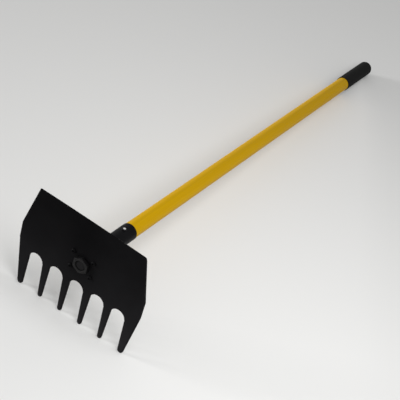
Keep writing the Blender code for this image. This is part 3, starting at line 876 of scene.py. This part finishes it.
# %% Handle
HANDLE_RADIUS = half_width("handle_tube")
HANDLE_BORE = 13 * MM
NECK_RADIUS = 15.6 * MM
CUT_END_ROUNDING = 0.4 * MM
handle_near, handle_far = reach_along_axis("handle_tube")
handle_profile = [
    (HANDLE_RADIUS, handle_far, CUT_END_ROUNDING),
    (HANDLE_RADIUS, mouth + SEAT, CUT_END_ROUNDING),
    (NECK_RADIUS, mouth + SEAT),
    (NECK_RADIUS, handle_near, CUT_END_ROUNDING),
    (HANDLE_BORE, handle_near),
    (HANDLE_BORE, handle_far),
]
handle_shaft = make_piece("handle_shaft", turned(handle_profile, closed=True), ALONG_HANDLE)
print(f"handle, mm: {(handle_far - handle_near) / MM:.0f} long")

# %% [markdown]
# ## The socket's rivet
# One rivet goes straight through the socket and the handle. Both ends are low domes. The dome is two
# straight lines of a profile whose corners are rounded so far that they run into each other. The enamel
# has rubbed off the crown of each dome, so the crowns are marked.

# %% Socket rivet
PIN_RADIUS = 3 * MM
PIN_HEAD_RADIUS = half_width("socket_rivet")
PIN_HOLE_RADIUS = 3.3 * MM
PIN_HEAD_HEIGHT = 2 * MM
DOME_FLAT_RADIUS = 0.62 * PIN_HEAD_RADIUS
DOME_FLAT_ROUNDING = 1.8 * MM
DOME_EDGE = 0.42 * PIN_HEAD_HEIGHT
DOME_EDGE_ROUNDING = 0.9 * MM
CROWN_RADIUS = 2.6 * MM
pin_station = (centre("socket_rivet") - AXIS_FOOT).dot(AXIS)
PIN_PLACE = ALONG_HANDLE @ Matrix.Translation((0, 0, pin_station)) @ Matrix.Rotation(pi / 2, 4, "X")

pin_seat = SOCKET_RADIUS + SEAT
dome = [
    (0, pin_seat + PIN_HEAD_HEIGHT),
    (DOME_FLAT_RADIUS, pin_seat + PIN_HEAD_HEIGHT, DOME_FLAT_ROUNDING),
    (PIN_HEAD_RADIUS, pin_seat + DOME_EDGE, DOME_EDGE_ROUNDING),
    (PIN_HEAD_RADIUS, pin_seat),
    (PIN_RADIUS, pin_seat),
]
other_dome = [(corner[0], -corner[1], *corner[2:]) for corner in reversed(dome)]
pin_shape = turned(dome + other_dome, SMALL_STEPS)
mark_rubbed(pin_shape, lambda point: abs(point.z) > pin_seat and hypot(point.x, point.y) < CROWN_RADIUS)
sleeve_rivet = make_piece("sleeve_rivet", pin_shape, PIN_PLACE)
for drilled in (socket_sleeve, handle_shaft):
    cut(drilled, bar(PIN_HOLE_RADIUS, -pin_seat, pin_seat), PIN_PLACE)
print(f"rivet, mm: {pin_station / MM:.0f} from the head's face along the axis")

# %% [markdown]
# ## The grip
# A plain rubber sleeve is pushed over the end of the handle. Its mouth has a soft lip and its end is closed
# and well rounded. It is one spun shell with its inside, so that it has a real wall.

# %% Grip
GRIP_RADIUS = half_width("hand_grip") - SLACK
GRIP_BORE = 16.3 * MM
GRIP_LIP_ROUNDING = 0.55 * MM
GRIP_END_ROUNDING = 8 * MM
GRIP_END_SEGMENTS = 10
GRIP_END_THICKNESS = 3.4 * MM
grip_near, grip_far = reach_along_axis("hand_grip")
grip_far -= SLACK
print(f"grip, mm: {(grip_far - grip_near) / MM:.0f} long")
grip_profile = [
    (0, grip_far),
    (GRIP_RADIUS, grip_far, GRIP_END_ROUNDING, GRIP_END_SEGMENTS),
    (GRIP_RADIUS, grip_near, GRIP_LIP_ROUNDING),
    (GRIP_BORE, grip_near),
    (GRIP_BORE, grip_far - GRIP_END_THICKNESS),
    (0, grip_far - GRIP_END_THICKNESS),
]
grip_sleeve = make_piece("grip_sleeve", turned(grip_profile), ALONG_HANDLE)

# %% [markdown]
# ## Smooth where round, crisp where cut
# Faces are shaded smooth, so that 96 steps read as round. Edges that turn sharply stay crisp. A smooth face
# next to a small rounding would pick up its slant, so the normals are weighted by area: large flats win.

# %% Shading
SHARP_ANGLE = radians(35)
PIECES = [
    blade_and_tines, socket_flange, *blade_rivets, boss_bolt, boss_nut, socket_sleeve, socket_weld,
    handle_shaft, sleeve_rivet, grip_sleeve,
]


def shade(piece):
    """Smooth shading with crisp edges and flats that stay flat."""
    piece.data.shade_smooth()
    piece.data.set_sharp_from_angle(angle=SHARP_ANGLE)
    weighted = piece.modifiers.new("flat_normals", "WEIGHTED_NORMAL")
    weighted.keep_sharp = True


for piece in PIECES:
    shade(piece)
print("faces in all:", sum(len(piece.data.polygons) for piece in PIECES))

# %% [markdown]
# ## Effects that several finishes share
# Three effects come back in more than one material, so each is a node group that is built once. The first is
# surface grain: a broad unevenness and a fine one, for paint, steel and rubber alike.

# %% Group helpers
def new_group(name, inputs, outputs):
    """A shader node group with a vector, value inputs and value outputs."""
    tree = bpy.data.node_groups.new(name, "ShaderNodeTree")
    tree.interface.new_socket("Vector", in_out="INPUT", socket_type="NodeSocketVector")
    for title in inputs:
        tree.interface.new_socket(title, in_out="INPUT", socket_type="NodeSocketFloat")
    for title in outputs:
        tree.interface.new_socket(title, in_out="OUTPUT", socket_type="NodeSocketFloat")
    start = tree.nodes.new("NodeGroupInput").outputs
    end = tree.nodes.new("NodeGroupOutput").inputs
    return tree, start, end


def use_group(tree, group, values):
    """Place a group in a material's tree and return its outputs."""
    return add_node(tree, "ShaderNodeGroup", values, node_tree=group).outputs


# %% Surface grain
GRAIN_DETAIL = {"Broad": 4, "Fine": 2}
GRAIN_ROUGHNESS = 0.55


def build_surface_grain():
    """Broad and fine unevenness from two noises of their own scale."""
    tree, start, end = new_group("surface_grain", ["Broad Scale", "Fine Scale"], ["Broad", "Fine"])
    for size, detail in GRAIN_DETAIL.items():
        unevenness = noise(tree, start["Vector"], start[size + " Scale"], detail, GRAIN_ROUGHNESS)
        tree.links.new(unevenness, end[size])
    return tree


SURFACE_GRAIN = build_surface_grain()
print("group:", SURFACE_GRAIN.name)

# %% [markdown]
# The second is wear on rims. The rim mark gives where an edge is, and a noise breaks it up, because paint
# chips here and there and never all along an edge. What comes out is a mask from 0 to 1.

# %% Worn rims
CHIP_START = 0.46
CHIP_FULL = 0.62
CHIP_DETAIL = 3
CHIP_ROUGHNESS = 0.5
RIM_START = 0.35


def build_worn_rims():
    """A mask of the places along the rims where the coating is thin or gone."""
    tree, start, end = new_group("worn_rims", ["Rim", "Scale", "Share"], ["Mask"])
    flaws = noise(tree, start["Vector"], start["Scale"], CHIP_DETAIL, CHIP_ROUGHNESS)
    chips = ramp(tree, flaws, CHIP_START, CHIP_FULL, curve="SMOOTHSTEP")
    edge = ramp(tree, start["Rim"], RIM_START, 1, curve="SMOOTHSTEP")
    worn = calculate(tree, "MULTIPLY", chips, edge)
    tree.links.new(calculate(tree, "MULTIPLY", worn, start["Share"]), end["Mask"])
    return tree


WORN_RIMS = build_worn_rims()
print("group:", WORN_RIMS.name)

# %% [markdown]
# The third is lengthwise fibre. A noise that is squeezed across the handle and stretched along it turns into
# long threads. It needs coordinates that lean with the handle, so each material turns them first.

# %% Lengthwise fibres
FIBRE_ROUGHNESS = 0.6
# Each kind of fibre has its share of the scale and its detail.
FIBRE_KINDS = {"Threads": (1, 3), "Streaks": (0.16, 2)}


def build_lengthwise_fibres():
    """Fine threads and broader streaks that run along Y."""
    inputs = ["Across Scale", "Along Scale"]
    tree, start, end = new_group("lengthwise_fibres", inputs, list(FIBRE_KINDS))
    sizes = {"X": start["Across Scale"], "Y": start["Along Scale"], "Z": start["Across Scale"]}
    stretch = add_node(tree, "ShaderNodeCombineXYZ", sizes).outputs[0]
    factors = {0: start["Vector"], 1: stretch}
    drawn_out = add_node(tree, "ShaderNodeVectorMath", factors, operation="MULTIPLY").outputs[0]
    for kind, (share, detail) in FIBRE_KINDS.items():
        tree.links.new(noise(tree, drawn_out, share, detail, FIBRE_ROUGHNESS), end[kind])
    return tree


LENGTHWISE_FIBRES = build_lengthwise_fibres()
print("group:", LENGTHWISE_FIBRES.name)

# %% [markdown]
# ## Black coatings
# Head, socket and nut are black, but not the same black. The head has a dull coat with a fine stipple, the
# socket a smoother enamel, and bolt and nut are blackened steel. All three are one recipe with other
# numbers: a nearly black coat in two close tones, a little bare steel on the rims, and a fine bump. The head
# also carries painted light: it grows greyer from the hoe edge down to the tine tips, as painted bounce light
# from the floor, and a little from left to right, as painted light from the right. Without it the head would
# be one even grey.

# %% What the finishes read
def object_vector(tree):
    """Coordinates of the object itself, in metres."""
    return add_node(tree, "ShaderNodeTexCoord").outputs["Object"]


def rim_value(tree):
    """The rim mark that each piece carries."""
    return add_node(tree, "ShaderNodeAttribute", attribute_name="rim").outputs["Fac"]


def surface_grain(tree, broad, fine):
    """Broad and fine grain of a finish, from their scales."""
    values = {"Vector": object_vector(tree), "Broad Scale": broad, "Fine Scale": fine}
    return use_group(tree, SURFACE_GRAIN, values)


def bump(tree, height, strength, depth):
    """A bump from a height, with its depth in metres."""
    values = {"Height": height, "Strength": strength, "Distance": depth}
    return add_node(tree, "ShaderNodeBump", values).outputs[0]


# %% Painted light on the head
# The head's colour gets painted bounce light from the floor, paler towards the tine tips, and painted light
# from the right.
PAINTED_LIGHT_CURVE = 1.9
LEFT_LIGHT_SHARE = 0.75
RIGHT_LIGHT = 0.18
RIGHT_REACH = 80 * MM
UNEVEN_PAINTED_LIGHT = (0.5, 1.5)


def painted_light_mask(tree, unevenness):
    """Painted light: bounce light from the floor growing from the hoe edge to the tine tips, and a little
    light from left to right, all uneven.
    """
    where = add_node(tree, "ShaderNodeSeparateXYZ", {"Vector": object_vector(tree)}).outputs
    down = ramp(tree, where["Z"], HEAD_HIGH.z, HEAD_LOW.z)
    left = ramp(tree, where["X"], -HEAD_HALF, 0, low=LEFT_LIGHT_SHARE)
    right = ramp(tree, where["X"], 0, RIGHT_REACH, high=RIGHT_LIGHT)
    curved = calculate(tree, "POWER", down, PAINTED_LIGHT_CURVE)
    both = calculate(tree, "MULTIPLY_ADD", curved, left, right)
    return calculate(tree, "MULTIPLY", both, spread(tree, unevenness, *UNEVEN_PAINTED_LIGHT))


# %% Coated steel
BARE_STEEL = (0.140, 0.137, 0.132, 1)
TONE_REACH = (-0.4, 1.4)
STIPPLE = 0.5


def coated_steel(name, tones, roughness, grain, wear, stipple_depth, shine, painted_light_tone=None):
    """Painted or blackened steel. tones is (dark, pale), grain (broad, fine) and wear (scale, share)."""
    made, tree, shader = new_material(name, {"Specular IOR Level": shine})
    texture = surface_grain(tree, *grain)
    wear_values = {"Vector": object_vector(tree), "Rim": rim_value(tree), "Scale": wear[0], "Share": wear[1]}
    worn = use_group(tree, WORN_RIMS, wear_values)["Mask"]
    paint = mix_colours(tree, spread(tree, texture["Broad"], *TONE_REACH), *tones)
    # This paler tone is painted light. It is not the coat's own colour.
    if painted_light_tone:
        paint = mix_colours(tree, painted_light_mask(tree, texture["Broad"]), paint, painted_light_tone)
    feed(tree, shader.inputs, {
        "Base Color": mix_colours(tree, worn, paint, BARE_STEEL),
        "Roughness": spread(tree, texture["Fine"], *roughness),
        "Normal": bump(tree, texture["Fine"], STIPPLE, stipple_depth),
    })
    return made


# The head's last, paler tone is its painted light from the floor and from the right.
HEAD_PAINT = coated_steel(
    "dull_black_paint", tones=((0.0010, 0.0009, 0.0012, 1), (0.0030, 0.0028, 0.0032, 1)),
    roughness=(0.42, 0.66), grain=(14, 900), wear=(160, 0.55), stipple_depth=0.05 * MM, shine=0.022,
    painted_light_tone=(0.0155, 0.0150, 0.0162, 1),
)
SOCKET_ENAMEL = coated_steel(
    "black_enamel", tones=((0.0022, 0.0021, 0.0026, 1), (0.0038, 0.0037, 0.0044, 1)),
    roughness=(0.36, 0.50), grain=(24, 600), wear=(220, 0.4), stipple_depth=0.03 * MM, shine=0.04,
)
FASTENER_STEEL = coated_steel(
    "blackened_steel", tones=((0.0038, 0.0036, 0.0040, 1), (0.0062, 0.0060, 0.0064, 1)),
    roughness=(0.36, 0.56), grain=(90, 1100), wear=(3200, 0.13), stipple_depth=0.04 * MM, shine=0.07,
)
print("black finishes:", HEAD_PAINT.name, SOCKET_ENAMEL.name, FASTENER_STEEL.name)

# %% [markdown]
# ## A rivet with a bright crown
# The rivet in the socket is the one bright spot of the head. It was enamelled with the socket, and its crown
# is rubbed bright. Painting the whole dome bright would make it too large a spot, so the rim mark of the
# crown blends from enamel to bare metal. Bare metal gets its look from what it reflects, so it is metallic.

# %% Rubbed rivet
RIVET_SHINE = 0.10
RIVET_GRAIN = (320, 2400)
CROWN_FADE = (0.3, 0.9)
RIVET_ENAMEL = (0.0040, 0.0038, 0.0044, 1)
RIVET_METAL = ((0.62, 0.61, 0.60, 1), (0.86, 0.86, 0.87, 1))
RIVET_ROUGHNESS = (0.20, 0.38)
RIVET_SCRATCHES = (0.4, 0.01 * MM)


def rubbed_rivet():
    """Enamel that gives way to bare metal on the crown."""
    made, tree, shader = new_material("rubbed_rivet", {"Specular IOR Level": RIVET_SHINE})
    texture = surface_grain(tree, *RIVET_GRAIN)
    crown = ramp(tree, rim_value(tree), *CROWN_FADE, curve="SMOOTHSTEP")
    metal = mix_colours(tree, texture["Broad"], *RIVET_METAL)
    feed(tree, shader.inputs, {
        "Base Color": mix_colours(tree, crown, RIVET_ENAMEL, metal),
        "Metallic": crown,
        "Roughness": spread(tree, texture["Fine"], *RIVET_ROUGHNESS),
        "Normal": bump(tree, texture["Fine"], *RIVET_SCRATCHES),
    })
    return made


RUBBED_RIVET = rubbed_rivet()
print("rivet finish:", RUBBED_RIVET.name)

# %% [markdown]
# ## Fibreglass
# The handle is yellow resin full of glass threads. They show as faint long streaks in the colour and as a
# hardly felt lengthwise ribbing, and never as spots. The pale rod and the plug inside are the same kind of
# stuff without the pigment, so one recipe makes both.

# %% Pulled fibreglass
RESIN_SHINE = 0.05
FIBRE_SCALES = {"Across Scale": 900, "Along Scale": 6}
FIBRE_FADE = (0.12, 0.4)
RIBBING = 0.5


def pulled_fibreglass(name, tones, roughness, rib_depth):
    """Resin with glass threads along the handle. tones is (deep, bright)."""
    made, tree, shader = new_material(name, {"Specular IOR Level": RESIN_SHINE})
    leaning = {"Vector": object_vector(tree), "Location": AXIS_FOOT, "Rotation": (-LEAN, 0, 0)}
    lengthwise = add_node(tree, "ShaderNodeMapping", leaning, vector_type="TEXTURE").outputs[0]
    fibres = use_group(tree, LENGTHWISE_FIBRES, {"Vector": lengthwise, **FIBRE_SCALES})
    both = calculate(tree, "MULTIPLY", fibres["Threads"], fibres["Streaks"])
    feed(tree, shader.inputs, {
        "Base Color": mix_colours(tree, ramp(tree, both, *FIBRE_FADE), *tones),
        "Roughness": spread(tree, fibres["Streaks"], *roughness),
        "Normal": bump(tree, fibres["Threads"], RIBBING, rib_depth),
    })
    return made


YELLOW_HANDLE = pulled_fibreglass(
    "yellow_fibreglass", tones=((0.50, 0.284, 0.0005, 1), (0.56, 0.322, 0.0009, 1)),
    roughness=(0.34, 0.50), rib_depth=0.03 * MM,
)
PALE_CORE = pulled_fibreglass(
    "pale_glass_rod", tones=((0.56, 0.50, 0.36, 1), (0.68, 0.63, 0.50, 1)),
    roughness=(0.5, 0.7), rib_depth=0.04 * MM,
)
print("fibreglass:", YELLOW_HANDLE.name, PALE_CORE.name)

# %% [markdown]
# ## Rubber
# Rubber is dark grey rather than black and hardly shines. Its fine grain comes from the mould. A plain grey
# would look like hard plastic, so two noises break up its tone and its gloss.

# %% Grip rubber
RUBBER_SHINE = 0.06
RUBBER_GRAIN = (30, 1500)
RUBBER_TONES = ((0.0050, 0.0052, 0.0050, 1), (0.0086, 0.0089, 0.0086, 1))
RUBBER_ROUGHNESS = (0.62, 0.86)
RUBBER_PORES = (0.6, 0.06 * MM)


def moulded_rubber():
    """Dull rubber in two close tones, with the fine grain of its mould."""
    made, tree, shader = new_material("soft_black_rubber", {"Specular IOR Level": RUBBER_SHINE})
    texture = surface_grain(tree, *RUBBER_GRAIN)
    feed(tree, shader.inputs, {
        "Base Color": mix_colours(tree, texture["Broad"], *RUBBER_TONES),
        "Roughness": spread(tree, texture["Fine"], *RUBBER_ROUGHNESS),
        "Normal": bump(tree, texture["Fine"], *RUBBER_PORES),
    })
    return made


GRIP_RUBBER = moulded_rubber()
print("rubber:", GRIP_RUBBER.name)

# %% [markdown]
# ## Dressing the frame
# Each new piece takes the place of the CAD node that it stands for, rides on the tool and gets its finish.
# The weld is part of the socket's CAD node, so it only rides along. The rod and the plug inside the handle
# can't be seen. Their CAD nodes are right as they are and only get their finish.

# %% Finishes and places
BODY = "root"


def dress(piece, finish, slot, *nodes):
    """Give a piece its finish and its place in the frame."""
    piece.data.materials.clear()
    piece.data.materials.append(finish)
    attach(piece, BODY)
    if nodes:
        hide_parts(*nodes)


dress(blade_and_tines, HEAD_PAINT, "head_paint", "head_plate")
dress(socket_flange, SOCKET_ENAMEL, "socket_enamel", "socket_base")
dress(socket_sleeve, SOCKET_ENAMEL, "socket_enamel", "socket_tube")
dress(socket_weld, SOCKET_ENAMEL, "socket_enamel")
dress(boss_nut, FASTENER_STEEL, "fastener_steel", "centre_nut")
dress(boss_bolt, FASTENER_STEEL, "fastener_steel", "centre_bolt")
for blade_rivet, rivet_node in zip(blade_rivets, RIVET_NODES):
    dress(blade_rivet, HEAD_PAINT, "fastener_steel", rivet_node)
dress(sleeve_rivet, RUBBED_RIVET, "bright_rivet", "socket_rivet")
dress(handle_shaft, YELLOW_HANDLE, "handle_resin", "handle_tube")
dress(grip_sleeve, GRIP_RUBBER, "grip_rubber", "hand_grip")
for node in ("handle_core", "end_plug"):
    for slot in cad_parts[node].material_slots:
        slot.material = PALE_CORE
print("pieces:", len(PIECES))

# %% [markdown]
# ## The two boxes
# The fine model must not outgrow the CAD model. The sizes of both boxes are printed, so that they can be
# compared.

# %% Sizes and the end
def plain(box):
    """A box as plain lists of numbers."""
    return [[float(value) for value in corner] for corner in box]


sizes = {"cad": plain(CAD_BOX), "visual": plain(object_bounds())}
for title, (low, high) in sizes.items():
    print(title, [round((b - a) / MM, 1) for a, b in zip(low, high)])
